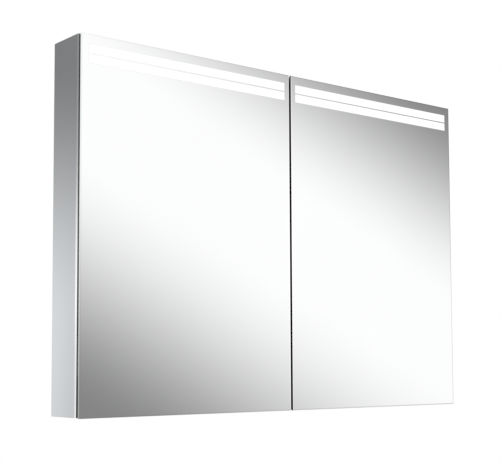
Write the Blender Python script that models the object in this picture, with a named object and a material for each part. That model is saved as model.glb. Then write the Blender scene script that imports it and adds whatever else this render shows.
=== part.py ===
"""Medicine cabinet with two mirror doors: an aluminium body that hangs on a wall.

Frame: the origin is the centre of the back face, +X points to the right for someone
facing the doors, -Y points out of the wall towards them and +Z points up. Metres.
"""
import math

import bmesh
import bpy
from mathutils import Matrix
from mathutils import Vector

# ---- overall size
WIDTH = 1.000
HEIGHT = 0.700
DEPTH = 0.100
HALF_W = WIDTH / 2
HALF_H = HEIGHT / 2
FIT = 0.0003                    # clearance between two pieces that touch
THIN_EDGE = 0.0006              # small edge break

# ---- body
DOOR_THICK = 0.008
DOOR_GAP = 0.002                # body front to door back
BODY_D = DEPTH - DOOR_THICK - DOOR_GAP
PANEL = 0.015                   # side, top and partition thickness
BODY_BOTTOM = -HALF_H + 0.001
FLOOR_Z = -HALF_H + 0.015       # upper face of the bottom panel
CEILING_Z = HALF_H - PANEL      # lower face of the top panel
BACK_T = 0.006
GRIP_SETBACK = 0.012            # finger room below the doors
LIP = 0.005                     # metal left around each outer side mirror
SIDE_MIRROR_T = 0.003
BACK_MIRROR_T = 0.004

VENT_COUNT = 14                 # air slots over the light driver
VENT_PITCH = 0.007
VENT_W = 0.0025
VENT_X = -0.020
VENT_Y = (-0.012, -0.034)

# ---- light unit behind the top of the doors
HOUSING_BOTTOM = 0.2840
HOUSING_T = 0.0015
HOUSING_WEB_Y = -0.0400
HOUSING_FRONT_Y = -0.0860
DIFFUSER_T = 0.003
BOARD_T = 0.0016
LED_PITCH = 0.050
LED_SIZE = 0.0035
LED_H = 0.0012

# ---- doors
CENTRE_GAP = 0.0035
FRONT_PANE_T = 0.004
REAR_PANE_T = 0.0037
PANE_ARRIS = 0.0008
STILE_U0 = 0.0052               # hinge stile, measured inwards from the outer side face
STILE_U1 = 0.0300
REAR_END_U = 0.4900
DOOR_MARGIN_Z = 0.006
WINDOW_SIDE = 0.0150            # frosted light window, from the pane's side edges
WINDOW_TOP = 0.0185
WINDOW_MIDDLE = 0.0370
WINDOW_LOW = 0.0555
WINDOW_LINE = 0.0018            # mirror line between the two halves of the window
ETCH_DEPTH = 0.0002
STRIP_LOW = 0.0590
STRIP_HIGH = 0.0140

# ---- hinges: the axis runs up the door's outer edge, behind the front pane
AXIS_U = 0.0022                 # inwards from the outer side face
AXIS_V = 0.0037                 # forwards from the body's front face
KNUCKLE_R = 0.0019
PIN_R = 0.0008
BORE_R = 0.0009
LEAF_T = 0.0010
HINGE_H = 0.070
HINGE_Z = (-0.240, 0.190)
KNUCKLE_MID = 0.024
POCKET_DEPTH = 0.0015
DOOR_LEAF_U = 0.0045
DOOR_LEAF_END = 0.0270
BODY_LEAF_END = 0.0125

# ---- shelves and pins
SHELF_Z = (-0.125, 0.080)
SHELF_T = 0.006
SHELF_FRONT_Y = -0.078
SHELF_BACK_Y = -0.0125
PIN_Y = (-0.026, -0.064)
SHELF_PIN_R = 0.0025
SHELF_HOLE_R = 0.0026
PIN_REACH = 0.009
PIN_DEPTH = 0.008
HOLE_STEP = 0.032
HOLE_DEPTH = 0.009

# ---- fittings
SOCKET_Z = -0.286
SWITCH_Z = -0.236
FITTING_Y = -0.046
GLAND_X = 0.230
GLAND_Z = 0.311
ROUND = 24                      # sides of a round piece
SMALL_ROUND = 16


def material(name, colour, metallic=0.0, roughness=0.4, transmission=0.0, glow=0.0):
    mat = bpy.data.materials.new(name)
    mat.use_nodes = True
    shader = mat.node_tree.nodes["Principled BSDF"]
    shader.inputs["Base Color"].default_value = (colour[0], colour[1], colour[2], 1.0)
    shader.inputs["Metallic"].default_value = metallic
    shader.inputs["Roughness"].default_value = roughness
    shader.inputs["Transmission Weight"].default_value = transmission
    shader.inputs["Emission Color"].default_value = (1.0, 1.0, 1.0, 1.0)
    shader.inputs["Emission Strength"].default_value = glow
    return mat


def finish(obj, mat_args, smooth_angle=None):
    """Give the piece its own material and tidy its normals."""
    obj.data.materials.clear()
    obj.data.materials.append(material(obj.name + "_material", *mat_args))
    mesh = bmesh.new()
    mesh.from_mesh(obj.data)
    bmesh.ops.recalc_face_normals(mesh, faces=mesh.faces)
    mesh.to_mesh(obj.data)
    mesh.free()
    for face in obj.data.polygons:
        face.use_smooth = False
    if smooth_angle is not None:
        obj.data.shade_smooth()
        obj.data.set_sharp_from_angle(angle=math.radians(smooth_angle))
    return obj


def add_mesh(name, mesh):
    data = bpy.data.meshes.new(name)
    mesh.to_mesh(data)
    mesh.free()
    obj = bpy.data.objects.new(name, data)
    bpy.context.scene.collection.objects.link(obj)
    return obj


def box(name, x, y, z):
    """A box from three pairs of limits, in any order."""
    mesh = bmesh.new()
    bmesh.ops.create_cube(mesh, size=1.0)
    size = Vector((abs(x[1] - x[0]), abs(y[1] - y[0]), abs(z[1] - z[0])))
    centre = Vector((sum(x) / 2, sum(y) / 2, sum(z) / 2))
    for vert in mesh.verts:
        vert.co = Vector([vert.co[i] * size[i] + centre[i] for i in range(3)])
    return add_mesh(name, mesh)


def cylinder(name, centre, radius, length, axis, sides=ROUND):
    """A cylinder centred on a point, along X, Y or Z."""
    turn = {"X": Matrix.Rotation(math.pi / 2, 4, "Y"),
            "Y": Matrix.Rotation(math.pi / 2, 4, "X"),
            "Z": Matrix.Identity(4)}[axis]
    mesh = bmesh.new()
    bmesh.ops.create_cone(mesh, cap_ends=True, segments=sides, radius1=radius,
                          radius2=radius, depth=length,
                          matrix=Matrix.Translation(centre) @ turn)
    return add_mesh(name, mesh)


def prism_x(name, outline, x):
    """A (y, z) outline stretched along X."""
    mesh = bmesh.new()
    near = [mesh.verts.new((x[0], y, z)) for y, z in outline]
    far = [mesh.verts.new((x[1], y, z)) for y, z in outline]
    mesh.faces.new(near)
    mesh.faces.new(list(reversed(far)))
    count = len(outline)
    for i in range(count):
        j = (i + 1) % count
        mesh.faces.new((near[j], near[i], far[i], far[j]))
    bmesh.ops.recalc_face_normals(mesh, faces=mesh.faces)
    return add_mesh(name, mesh)


def prism_y(name, outline, y):
    """An (x, z) outline stretched along Y."""
    mesh = bmesh.new()
    near = [mesh.verts.new((x, y[0], z)) for x, z in outline]
    far = [mesh.verts.new((x, y[1], z)) for x, z in outline]
    mesh.faces.new(near)
    mesh.faces.new(list(reversed(far)))
    count = len(outline)
    for i in range(count):
        j = (i + 1) % count
        mesh.faces.new((near[j], near[i], far[i], far[j]))
    bmesh.ops.recalc_face_normals(mesh, faces=mesh.faces)
    return add_mesh(name, mesh)


def combine(obj, tool, operation):
    """Cut the tool from the piece, or join it on, then drop the tool."""
    tool.hide_render = True
    tool.display_type = "WIRE"
    step = obj.modifiers.new("combine", "BOOLEAN")
    step.operation = operation
    step.solver = "EXACT"
    step.object = tool
    bpy.context.view_layer.update()
    evaluated = obj.evaluated_get(bpy.context.evaluated_depsgraph_get())
    data = bpy.data.meshes.new_from_object(evaluated)
    obj.modifiers.remove(step)
    old = obj.data
    obj.data = data
    bpy.data.meshes.remove(old)
    bpy.data.objects.remove(tool, do_unlink=True)


def cut(obj, *tools):
    for tool in tools:
        combine(obj, tool, "DIFFERENCE")


def join(obj, *tools):
    for tool in tools:
        combine(obj, tool, "UNION")


def soften(obj, width=THIN_EDGE, steps=1, angle=35.0):
    """Break the sharp edges of a piece."""
    step = obj.modifiers.new("soften", "BEVEL")
    step.width = width
    step.segments = steps
    step.limit_method = "ANGLE"
    step.angle_limit = math.radians(angle)
    step.use_clamp_overlap = True
    evaluated = obj.evaluated_get(bpy.context.evaluated_depsgraph_get())
    data = bpy.data.meshes.new_from_object(evaluated)
    obj.modifiers.remove(step)
    old = obj.data
    obj.data = data
    bpy.data.meshes.remove(old)


def set_origin(obj, point):
    """Put the piece's own origin on a point without moving the piece."""
    obj.data.transform(Matrix.Translation(-Vector(point)))
    obj.location = point


def inward(side, u):
    """World x of a point u inwards from the outer face of one side (-1 left, 1 right)."""
    return side * (HALF_W - u)


def forward(v):
    """World y of a point v in front of the body's front face."""
    return -(BODY_D + v)


ALUMINIUM = ((0.80, 0.81, 0.82), 1.0, 0.30)
MIRROR = ((0.92, 0.93, 0.94), 1.0, 0.03)
GLASS = ((0.86, 0.95, 0.93), 0.0, 0.03, 0.9)
WHITE_STEEL = ((0.86, 0.87, 0.88), 0.0, 0.35)
STEEL = ((0.62, 0.63, 0.65), 1.0, 0.25)
OPAL = ((0.95, 0.96, 0.98), 0.0, 0.5, 0.0, 2.0)
WHITE_PLASTIC = ((0.90, 0.90, 0.89), 0.0, 0.3)
GREY_PLASTIC = ((0.30, 0.31, 0.33), 0.0, 0.45)
RUBBER = ((0.05, 0.05, 0.05), 0.0, 0.7)
BOARD = ((0.90, 0.91, 0.90), 0.0, 0.4)
SIDES = ((-1, "left"), (1, "right"))


def build_side(side, word):
    """Side profile with an inset mirror outside and rows of pin holes inside."""
    inner = inward(side, PANEL)
    obj = box("side_profile_" + word, (inward(side, 0), inner), (0, -BODY_D),
              (BODY_BOTTOM, HALF_H))
    depth = SIDE_MIRROR_T + FIT
    low = BODY_BOTTOM + LIP
    high = HALF_H - LIP
    pocket = box("pocket", (inward(side, -0.002), inward(side, depth)),
                 (-LIP, -BODY_D + LIP), (low, high))
    cut(obj, pocket)
    soften(obj, 0.0005)
    for shelf in SHELF_Z:
        for row in PIN_Y:
            for step in (-1, 0, 1):
                hole = cylinder("hole", (inner, row, shelf + step * HOLE_STEP),
                                SHELF_HOLE_R, 2 * HOLE_DEPTH, "X", SMALL_ROUND)
                cut(obj, hole)
    finish(obj, ALUMINIUM, 30)
    pane = box("side_mirror_" + word, (inward(side, 0.0001), inward(side, SIDE_MIRROR_T)),
               (-LIP - FIT, -BODY_D + LIP + FIT), (low + FIT, high - FIT))
    soften(pane, 0.0004)
    finish(pane, MIRROR)


def build_carcass():
    span = HALF_W - PANEL - FIT
    top = box("top_panel", (-span, span), (0, -BODY_D), (CEILING_Z, HALF_H))
    soften(top)
    for i in range(VENT_COUNT):
        x = VENT_X + (i - (VENT_COUNT - 1) / 2) * VENT_PITCH
        cut(top, box("vent", (x - VENT_W / 2, x + VENT_W / 2), VENT_Y, (0.3, 0.4)))
    finish(top, ALUMINIUM)
    bottom = box("bottom_panel", (-span, span), (0, -BODY_D + GRIP_SETBACK),
                 (BODY_BOTTOM, FLOOR_Z))
    soften(bottom)
    finish(bottom, ALUMINIUM)
    back = box("back_panel", (-span, span), (0, -BACK_T), (FLOOR_Z + FIT, CEILING_Z - FIT))
    for side, word in SIDES:
        cut(back, box("mouth", (side * 0.438, side * 0.468), (0.01, -0.01),
                      (0.292, 0.316)))
    cut(back, cylinder("entry", (GLAND_X, -BACK_T / 2, GLAND_Z), 0.0085, 0.02, "Y"))
    finish(back, WHITE_STEEL, 30)
    for side, word in SIDES:
        pane = box("back_mirror_" + word, (side * (PANEL / 2 + FIT), side * (span - FIT)),
                   (-BACK_T - FIT, -BACK_T - FIT - BACK_MIRROR_T),
                   (FLOOR_Z + FIT, HOUSING_BOTTOM - 0.001))
        soften(pane, 0.0005)
        finish(pane, MIRROR)
    partition = box("centre_partition", (-PANEL / 2, PANEL / 2),
                    (-BACK_T - FIT, HOUSING_FRONT_Y), (FLOOR_Z + FIT, HOUSING_BOTTOM - FIT))
    soften(partition)
    for shelf in SHELF_Z:
        for row in PIN_Y:
            for step in (-1, 0, 1):
                cut(partition, cylinder("hole", (0, row, shelf + step * HOLE_STEP),
                                        SHELF_HOLE_R, 0.03, "X", SMALL_ROUND))
    finish(partition, ALUMINIUM, 30)


def build_shelves():
    """Two glass shelves in each bay, on pins; the partition's pins serve both bays."""
    for level, shelf in zip(("lower", "upper"), SHELF_Z):
        for depth_word, row in zip(("rear", "front"), PIN_Y):
            pin = cylinder("shelf_pin_centre_%s_%s" % (level, depth_word),
                           (0, row, shelf), SHELF_PIN_R, PANEL + 2 * PIN_REACH, "X",
                           SMALL_ROUND)
            finish(pin, STEEL, 30)
            for side, word in SIDES:
                tip = inward(side, PANEL + PIN_REACH)
                end = inward(side, PANEL - PIN_DEPTH)
                name = "shelf_pin_%s_%s_%s" % (word, level, depth_word)
                pin = cylinder(name, ((tip + end) / 2, row, shelf), SHELF_PIN_R,
                               PIN_REACH + PIN_DEPTH, "X", SMALL_ROUND)
                collar_u = PANEL + 0.0003 + 0.0006
                join(pin, cylinder("collar", (inward(side, collar_u), row, shelf), 0.0036,
                                   0.0012, "X", SMALL_ROUND))
                finish(pin, STEEL, 30)
        for side, word in SIDES:
            bottom = shelf + SHELF_PIN_R + 0.0004
            pane = box("glass_shelf_%s_%s" % (word, level),
                       (side * (PANEL / 2 + 0.0012), inward(side, PANEL + 0.0024)),
                       (SHELF_BACK_Y, SHELF_FRONT_Y), (bottom, bottom + SHELF_T))
            soften(pane, 0.001)
            finish(pane, GLASS)


def build_light():
    """Light unit: a bent channel, its lamp board, the opal cover and the driver."""
    span = HALF_W - PANEL - 2 * FIT
    top = CEILING_Z - FIT
    low = HOUSING_BOTTOM
    web = HOUSING_WEB_Y
    back = -BACK_T - BACK_MIRROR_T - 2 * FIT
    front = HOUSING_FRONT_Y
    wall = HOUSING_T
    outline = [(back, low), (back, low + wall), (web, low + wall), (web, top),
               (front + 0.006, top), (front + 0.006, top - wall), (web - wall, top - wall),
               (web - wall, low + wall), (front + wall, low + wall),
               (front + wall, low + 0.007), (front, low + 0.007), (front, low)]
    housing = prism_x("light_housing", outline, (-span, span))
    finish(housing, WHITE_STEEL)
    board = box("led_board", (-span + 0.010, span - 0.010),
                (web - wall - FIT, web - wall - FIT - BOARD_T), (low + 0.012, top - 0.012))
    count = int((2 * span - 0.06) / LED_PITCH)
    centre_z = (low + top) / 2
    start = -(count - 1) * LED_PITCH / 2
    face = web - wall - FIT - BOARD_T
    for i in range(count):
        x = start + i * LED_PITCH
        join(board, box("led", (x - LED_SIZE / 2, x + LED_SIZE / 2),
                        (face + 0.0002, face - LED_H),
                        (centre_z - LED_SIZE / 2, centre_z + LED_SIZE / 2)))
    finish(board, BOARD)
    cover = box("light_diffuser", (-span + 0.001, span - 0.001),
                (front + wall + FIT, front + wall + FIT + DIFFUSER_T),
                (low + wall + FIT, top - wall - FIT))
    soften(cover, 0.0004)
    finish(cover, OPAL)
    driver = box("led_driver", (-0.110, 0.070), (-0.013, -0.036), (0.292, 0.322))
    soften(driver, 0.002, 2)
    for end in (-0.110, 0.070):
        foot = box("foot", (end - 0.010, end + 0.010), (-0.0075, -0.0145), (0.299, 0.315))
        join(driver, foot)
    finish(driver, GREY_PLASTIC)


def build_hangers():
    """Box at each upper rear corner that hooks over a bracket on the wall."""
    for side, word in SIDES:
        obj = box("wall_hanger_" + word, (side * 0.430, side * 0.476), (-0.0068, -0.034),
                  (0.2875, 0.331))
        soften(obj, 0.001)
        cut(obj, box("mouth", (side * 0.440, side * 0.466), (0.0, -0.013), (0.2925, 0.3155)))
        cut(obj, box("room", (side * 0.440, side * 0.466), (-0.0105, -0.028),
                     (0.2925, 0.3240)))
        screw = cylinder("screw", (side * 0.453, -0.0355, 0.318), 0.0032, 0.006, "Y",
                         SMALL_ROUND)
        join(obj, screw)
        cut(obj, box("slot", (side * 0.453 - 0.0006, side * 0.453 + 0.0006),
                     (-0.0375, -0.0398), (0.310, 0.326)))
        finish(obj, STEEL, 30)
    gland = cylinder("cable_gland", (GLAND_X, -0.00725, GLAND_Z), 0.0081, 0.0135, "Y")
    join(gland, cylinder("flange", (GLAND_X, -BACK_T - FIT - 0.002, GLAND_Z), 0.0115, 0.004,
                         "Y"))
    cut(gland, cylinder("bore", (GLAND_X, -0.00725, GLAND_Z), 0.0045, 0.03, "Y"))
    finish(gland, RUBBER, 30)


def build_fittings():
    """Shaver socket and light switch on the right wall, and the magnet catches."""
    wall_x = HALF_W - PANEL - FIT
    depth = 0.020
    face = wall_x - depth
    socket = box("socket_housing", (wall_x, face), (FITTING_Y - 0.026, FITTING_Y + 0.026),
                 (SOCKET_Z - 0.026, SOCKET_Z + 0.026))
    soften(socket, 0.002, 2)
    cut(socket, cylinder("recess", (face, FITTING_Y, SOCKET_Z), 0.0195, 0.028, "X",
                         2 * SMALL_ROUND))
    finish(socket, WHITE_PLASTIC, 30)
    insert = cylinder("socket_insert", (face + 0.0125, FITTING_Y, SOCKET_Z), 0.0190, 0.0024,
                      "X", 2 * SMALL_ROUND)
    for step in (-1, 1):
        cut(insert, cylinder("contact", (face + 0.0118, FITTING_Y, SOCKET_Z + step * 0.0095),
                             0.0026, 0.0024, "X", SMALL_ROUND))
    finish(insert, GREY_PLASTIC, 30)
    plate_t = 0.008
    plate = box("switch_plate", (wall_x, wall_x - plate_t),
                (FITTING_Y - 0.026, FITTING_Y + 0.026), (SWITCH_Z - 0.019, SWITCH_Z + 0.019))
    soften(plate, 0.0015, 2)
    cut(plate, box("hole", (wall_x - 0.0025, wall_x - 0.02),
                   (FITTING_Y - 0.0115, FITTING_Y + 0.0115),
                   (SWITCH_Z - 0.0135, SWITCH_Z + 0.0135)))
    finish(plate, WHITE_PLASTIC)
    pivot = wall_x - 0.0062
    outline = [(pivot + 0.0028, SWITCH_Z + 0.004), (pivot + 0.0028, SWITCH_Z - 0.004),
               (pivot - 0.0016, SWITCH_Z - 0.0125), (pivot - 0.0049, SWITCH_Z - 0.0122),
               (pivot - 0.0030, SWITCH_Z), (pivot - 0.0022, SWITCH_Z + 0.0122),
               (pivot + 0.0010, SWITCH_Z + 0.0125)]
    rocker = prism_y("switch_rocker", outline, (FITTING_Y - 0.0110, FITTING_Y + 0.0110))
    soften(rocker, 0.0004)
    set_origin(rocker, (pivot, FITTING_Y, SWITCH_Z))
    finish(rocker, WHITE_PLASTIC)
    for side, word in SIDES:
        near = side * (PANEL / 2 + FIT)
        far = side * (PANEL / 2 + 0.020)
        catch = box("magnet_catch_" + word, (near, far), (-0.070, -0.0900), (-0.060, -0.020))
        soften(catch, 0.001)
        cut(catch, box("face", (side * 0.0115, side * 0.0235), (-0.0890, -0.0950),
                       (-0.056, -0.024)))
        finish(catch, GREY_PLASTIC)


def build_door(side, word):
    """Door: a mirror pane in front, a hinge stile, an inner mirror and a light strip."""
    near = CENTRE_GAP / 2
    front = forward(DOOR_GAP + DOOR_THICK)
    seat = forward(DOOR_GAP + DOOR_THICK - FRONT_PANE_T)
    rear = forward(DOOR_GAP)
    rear_front = rear - REAR_PANE_T
    pane = box("door_mirror_" + word, (side * near, side * HALF_W), (seat, front),
               (-HALF_H, HALF_H))
    soften(pane, PANE_ARRIS, 1)
    middle = HALF_H - WINDOW_MIDDLE
    halves = ((middle + WINDOW_LINE / 2, HALF_H - WINDOW_TOP),
              (HALF_H - WINDOW_LOW, middle - WINDOW_LINE / 2))
    for low, high in halves:
        cut(pane, box("etch", (side * (near + WINDOW_SIDE - 0.002),
                               side * (HALF_W - WINDOW_SIDE)),
                      (seat - ETCH_DEPTH, seat + 0.002), (low, high)))
    finish(pane, MIRROR)
    top = HALF_H - STRIP_LOW - 0.001
    base = -HALF_H + DOOR_MARGIN_Z
    stile = box("door_stile_" + word, (inward(side, STILE_U0), inward(side, STILE_U1)),
                (rear, rear_front), (base, top))
    soften(stile, 0.0004)
    for centre in HINGE_Z:
        cut(stile, box("pocket", (inward(side, 0), inward(side, DOOR_LEAF_END + FIT)),
                       (rear + 0.002, rear - POCKET_DEPTH),
                       (centre - HINGE_H / 2 - FIT, centre + HINGE_H / 2 + FIT)))
    finish(stile, ALUMINIUM)
    mirror = box("door_inner_mirror_" + word,
                 (inward(side, STILE_U1 + FIT), inward(side, REAR_END_U)),
                 (rear, rear_front), (base, top))
    soften(mirror, 0.0005)
    finish(mirror, MIRROR)
    strip = box("door_light_strip_" + word,
                (inward(side, 0.0080), inward(side, REAR_END_U)), (rear, rear_front),
                (HALF_H - STRIP_LOW, HALF_H - STRIP_HIGH))
    soften(strip, 0.0006)
    finish(strip, OPAL)
    plate = box("strike_plate_" + word, (side * 0.0115, side * 0.0240),
                (rear + 0.0003, rear + 0.0015), (-0.056, -0.024))
    soften(plate, 0.0003)
    finish(plate, STEEL)


def build_hinge(side, word, centre, level):
    """Slim hinge: the body leaf carries the pin, the door leaf turns on it."""
    x = inward(side, AXIS_U)
    y = forward(AXIS_V)
    half = HINGE_H / 2
    end_len = half - KNUCKLE_MID / 2
    body = box("hinge_body_leaf_%s_%s" % (word, level),
               (inward(side, 0.0019), inward(side, BODY_LEAF_END)),
               (forward(FIT), forward(FIT + LEAF_T)), (centre - half, centre + half))
    for step in (-1, 1):
        z = centre + step * (half - end_len / 2)
        web = end_len / 2 - 0.0003
        join(body, box("web", (inward(side, 0.0021), inward(side, 0.0037)),
                       (forward(FIT + 0.0002), forward(AXIS_V + 0.0001)),
                       (z - web, z + web)))
        join(body, cylinder("knuckle", (x, y, z), KNUCKLE_R, end_len - 0.0002, "Z", ROUND))
    join(body, cylinder("pin", (x, y, centre), PIN_R, HINGE_H - 0.002, "Z", ROUND))
    set_origin(body, (x, y, centre))
    finish(body, STEEL, 30)
    back = DOOR_GAP + 0.0002
    leaf = box("hinge_door_leaf_%s_%s" % (word, level),
               (inward(side, DOOR_LEAF_U), inward(side, DOOR_LEAF_END)),
               (forward(back), forward(back + LEAF_T)), (centre - half, centre + half))
    mid = KNUCKLE_MID / 2 - FIT
    join(leaf, box("bridge", (inward(side, AXIS_U), inward(side, DOOR_LEAF_U + 0.001)),
                   (forward(back), forward(back + LEAF_T)), (centre - mid, centre + mid)))
    join(leaf, cylinder("knuckle", (x, y, centre), KNUCKLE_R, 2 * mid, "Z", ROUND))
    cut(leaf, cylinder("bore", (x, y, centre), BORE_R, HINGE_H, "Z", ROUND))
    set_origin(leaf, (x, y, centre))
    finish(leaf, STEEL, 30)


def build():
    for obj in list(bpy.data.objects):
        bpy.data.objects.remove(obj, do_unlink=True)
    build_carcass()
    build_shelves()
    build_light()
    build_hangers()
    build_fittings()
    for side, word in SIDES:
        build_side(side, word)
        build_door(side, word)
        for level, centre in zip(("lower", "upper"), HINGE_Z):
            build_hinge(side, word, centre, level)


build()
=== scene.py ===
# %% [markdown]
# # A medicine cabinet with two mirror doors
# The cabinet hangs on a wall. An aluminium body, only as deep as a bottle, carries two
# double-sided mirror doors, and a lamp behind the top of the doors shines through frosted
# windows. The solids of the design are already loaded as a frame, so this lesson adds what
# makes them look real: finishes, ground glass edges, lit windows, seals, screws and light.

# %% Load the frame
import math

import bpy
from mathutils import Matrix
from mathutils import Vector


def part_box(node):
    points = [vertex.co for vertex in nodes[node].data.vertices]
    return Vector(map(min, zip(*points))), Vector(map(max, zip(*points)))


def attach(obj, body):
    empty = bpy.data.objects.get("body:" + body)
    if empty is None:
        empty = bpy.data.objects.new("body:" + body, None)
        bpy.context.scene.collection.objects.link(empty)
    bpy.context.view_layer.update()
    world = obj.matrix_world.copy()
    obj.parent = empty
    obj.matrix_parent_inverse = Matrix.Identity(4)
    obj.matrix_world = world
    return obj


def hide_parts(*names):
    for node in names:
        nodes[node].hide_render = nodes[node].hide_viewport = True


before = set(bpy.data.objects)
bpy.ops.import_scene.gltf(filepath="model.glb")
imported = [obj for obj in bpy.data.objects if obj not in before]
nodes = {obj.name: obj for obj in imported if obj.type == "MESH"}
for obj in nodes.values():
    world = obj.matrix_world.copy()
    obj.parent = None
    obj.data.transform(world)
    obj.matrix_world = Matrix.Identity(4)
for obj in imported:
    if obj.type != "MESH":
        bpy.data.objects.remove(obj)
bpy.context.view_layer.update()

# %% [markdown]
# ## The camera
# The cabinet is seen from the left and a little below its middle with a moderately long
# lens, so the upper edge falls away much more than the lower one. A vertical shift keeps the
# upright edges nearly parallel, as with a view camera.

# %% Camera numbers
LENS = 79.4                      # millimetres, on the sensor below
CAMERA_AT = Vector((-1.4954, -1.8219, -0.2497))
YAW = math.radians(-38.832)
PITCH = math.radians(4.363)
ROLL = math.radians(-0.234)
SENSOR = 36.0
SHIFT_Y = 0.090


def camera_axes():
    """Right, up and forward of the camera, from its yaw, pitch and roll."""
    forward = Vector((-math.sin(YAW) * math.cos(PITCH), math.cos(YAW) * math.cos(PITCH),
                      math.sin(PITCH)))
    flat_right = Vector((math.cos(YAW), math.sin(YAW), 0.0))
    flat_up = flat_right.cross(forward)
    right = flat_right * math.cos(ROLL) + flat_up * math.sin(ROLL)
    up = flat_up * math.cos(ROLL) - flat_right * math.sin(ROLL)
    return right, up, forward


RIGHT, UP, FORWARD = camera_axes()
bpy.ops.object.select_all(action="DESELECT")
bpy.ops.object.camera_add(location=CAMERA_AT)
camera = bpy.context.object
camera.name = "studio_camera"
camera.data.sensor_width = SENSOR
camera.data.lens = LENS
camera.data.shift_y = SHIFT_Y
camera.data.clip_start = 0.05
camera.data.clip_end = 60.0
camera.rotation_euler = Matrix((RIGHT, UP, -FORWARD)).transposed().to_euler()
bpy.context.scene.camera = camera
bpy.context.scene.view_settings.view_transform = "Standard"
print("lens", round(camera.data.lens, 2), "mm")

# %% [markdown]
# ## Node helpers
# Every finish here is made of nodes, so three small helpers save a lot of typing: one adds
# a node and fills its sockets, one does arithmetic, and one starts a Principled material.

# %% Node helpers


def add_node(tree, kind, inputs=None, **settings):
    node = tree.nodes.new(kind)
    for key, value in settings.items():
        setattr(node, key, value)
    for key, value in (inputs or {}).items():
        socket = node.inputs[key]
        if hasattr(value, "is_output"):
            tree.links.new(value, socket)
        else:
            socket.default_value = value
    return node


def calc(tree, operation, first, second=0.0, third=0.0, clamp=False):
    node = add_node(tree, "ShaderNodeMath", {0: first, 1: second, 2: third},
                    operation=operation, use_clamp=clamp)
    return node.outputs[0]


def remap(tree, value, old, new, smooth=False):
    kind = "SMOOTHSTEP" if smooth else "LINEAR"
    node = add_node(tree, "ShaderNodeMapRange",
                    {0: value, 1: old[0], 2: old[1], 3: new[0], 4: new[1]},
                    interpolation_type=kind, clamp=True)
    return node.outputs[0]


def start_finish(name, **sockets):
    """A new material whose Principled sockets are set by name, with _ for a space."""
    mat = bpy.data.materials.new(name)
    mat.use_nodes = True
    tree = mat.node_tree
    shader = tree.nodes["Principled BSDF"]
    for key, value in sockets.items():
        shader.inputs[key.replace("_", " ")].default_value = value
    return mat, tree, shader


def spots(tree, scale, stretch=(1.0, 1.0, 1.0), detail=3.0, seed=0.0):
    """Noise on object coordinates, stretched along any axis."""
    place = add_node(tree, "ShaderNodeTexCoord")
    turn = add_node(tree, "ShaderNodeMapping",
                    {"Vector": place.outputs["Object"], "Location": (seed, seed, seed),
                     "Scale": stretch})
    noise = add_node(tree, "ShaderNodeTexNoise",
                     {"Vector": turn.outputs[0], "Scale": scale, "Detail": detail})
    return noise.outputs[0]


def tint(tree, shader, factor, dark, light, socket="Base Color"):
    """Blend between two colours by a pattern."""
    mix = add_node(tree, "ShaderNodeMix", data_type="RGBA")
    tree.links.new(factor, mix.inputs[0])
    mix.inputs[6].default_value = (*dark, 1.0)
    mix.inputs[7].default_value = (*light, 1.0)
    tree.links.new(mix.outputs[2], shader.inputs[socket])
    return mix.outputs[2]


def emboss(tree, shader, height, strength, distance):
    bump = add_node(tree, "ShaderNodeBump",
                    {"Height": height, "Strength": strength, "Distance": distance})
    tree.links.new(bump.outputs[0], shader.inputs["Normal"])


print("node helpers ready")

# %% [markdown]
# ## Metals
# Anodised profiles are drawn through a die and then brushed, so their grain runs the long
# way: noise that is stretched along the profile gives fine lines in both roughness and
# relief. Plated steel is smoother, with soft clouds and a few stains.

# %% Metal finishes


def brushed_aluminium(name, along, colour, rough=(0.20, 0.32)):
    """along is the axis that the grain runs in: 0, 1 or 2."""
    mat, tree, shader = start_finish(name, Metallic=1.0)
    stretch = [60.0, 60.0, 60.0]
    stretch[along] = 0.7
    lines = spots(tree, 26.0, stretch, 3.0)
    clouds = spots(tree, 9.0, seed=3.0)
    dark = tuple(c * 0.94 for c in colour)
    tint(tree, shader, remap(tree, clouds, (0.3, 0.7), (0.0, 1.0)), dark, colour)
    tree.links.new(remap(tree, lines, (0.25, 0.75), rough), shader.inputs["Roughness"])
    emboss(tree, shader, lines, 0.025, 0.0002)
    return mat


def plated(name, colour, rough=(0.14, 0.30)):
    mat, tree, shader = start_finish(name, Metallic=1.0)
    clouds = spots(tree, 70.0, detail=5.0)
    tint(tree, shader, remap(tree, clouds, (0.35, 0.65), (0.0, 1.0)),
         tuple(c * 0.88 for c in colour), colour)
    tree.links.new(remap(tree, spots(tree, 240.0, seed=1.5), (0.3, 0.7), rough),
                   shader.inputs["Roughness"])
    return mat


def side_aluminium(name, face_colour, lip_colour, lip_edge):
    """A polished side with a brighter front lip. The lip's streak is a painted glow."""
    mat = brushed_aluminium(name, 2, (0.9, 0.9, 0.9), (0.06, 0.11))
    tree = mat.node_tree
    shader = tree.nodes["Principled BSDF"]
    place = add_node(tree, "ShaderNodeTexCoord")
    split = add_node(tree, "ShaderNodeSeparateXYZ", {0: place.outputs["Object"]})
    front = remap(tree, split.outputs[1], (lip_edge, lip_edge + 0.0002), (1.0, 0.0))
    grain = remap(tree, spots(tree, 14.0, (60.0, 60.0, 0.7), 4.0, 2.0), (0.3, 0.7),
                  (-0.03, 0.03))
    tint(tree, shader, calc(tree, "ADD", front, grain, clamp=True), face_colour, lip_colour)
    rise = remap(tree, split.outputs[2], (-0.26, -0.12), (0.0, 1.0), smooth=True)
    fall = remap(tree, split.outputs[2], (-0.06, 0.14), (1.0, 0.0), smooth=True)
    glint = calc(tree, "MULTIPLY", calc(tree, "MULTIPLY", rise, fall), front)
    tint(tree, shader, glint, (0.0, 0.0, 0.0), (1.0, 1.0, 1.0), "Emission Color")
    shader.inputs["Emission Strength"].default_value = 0.14
    return mat


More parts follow.
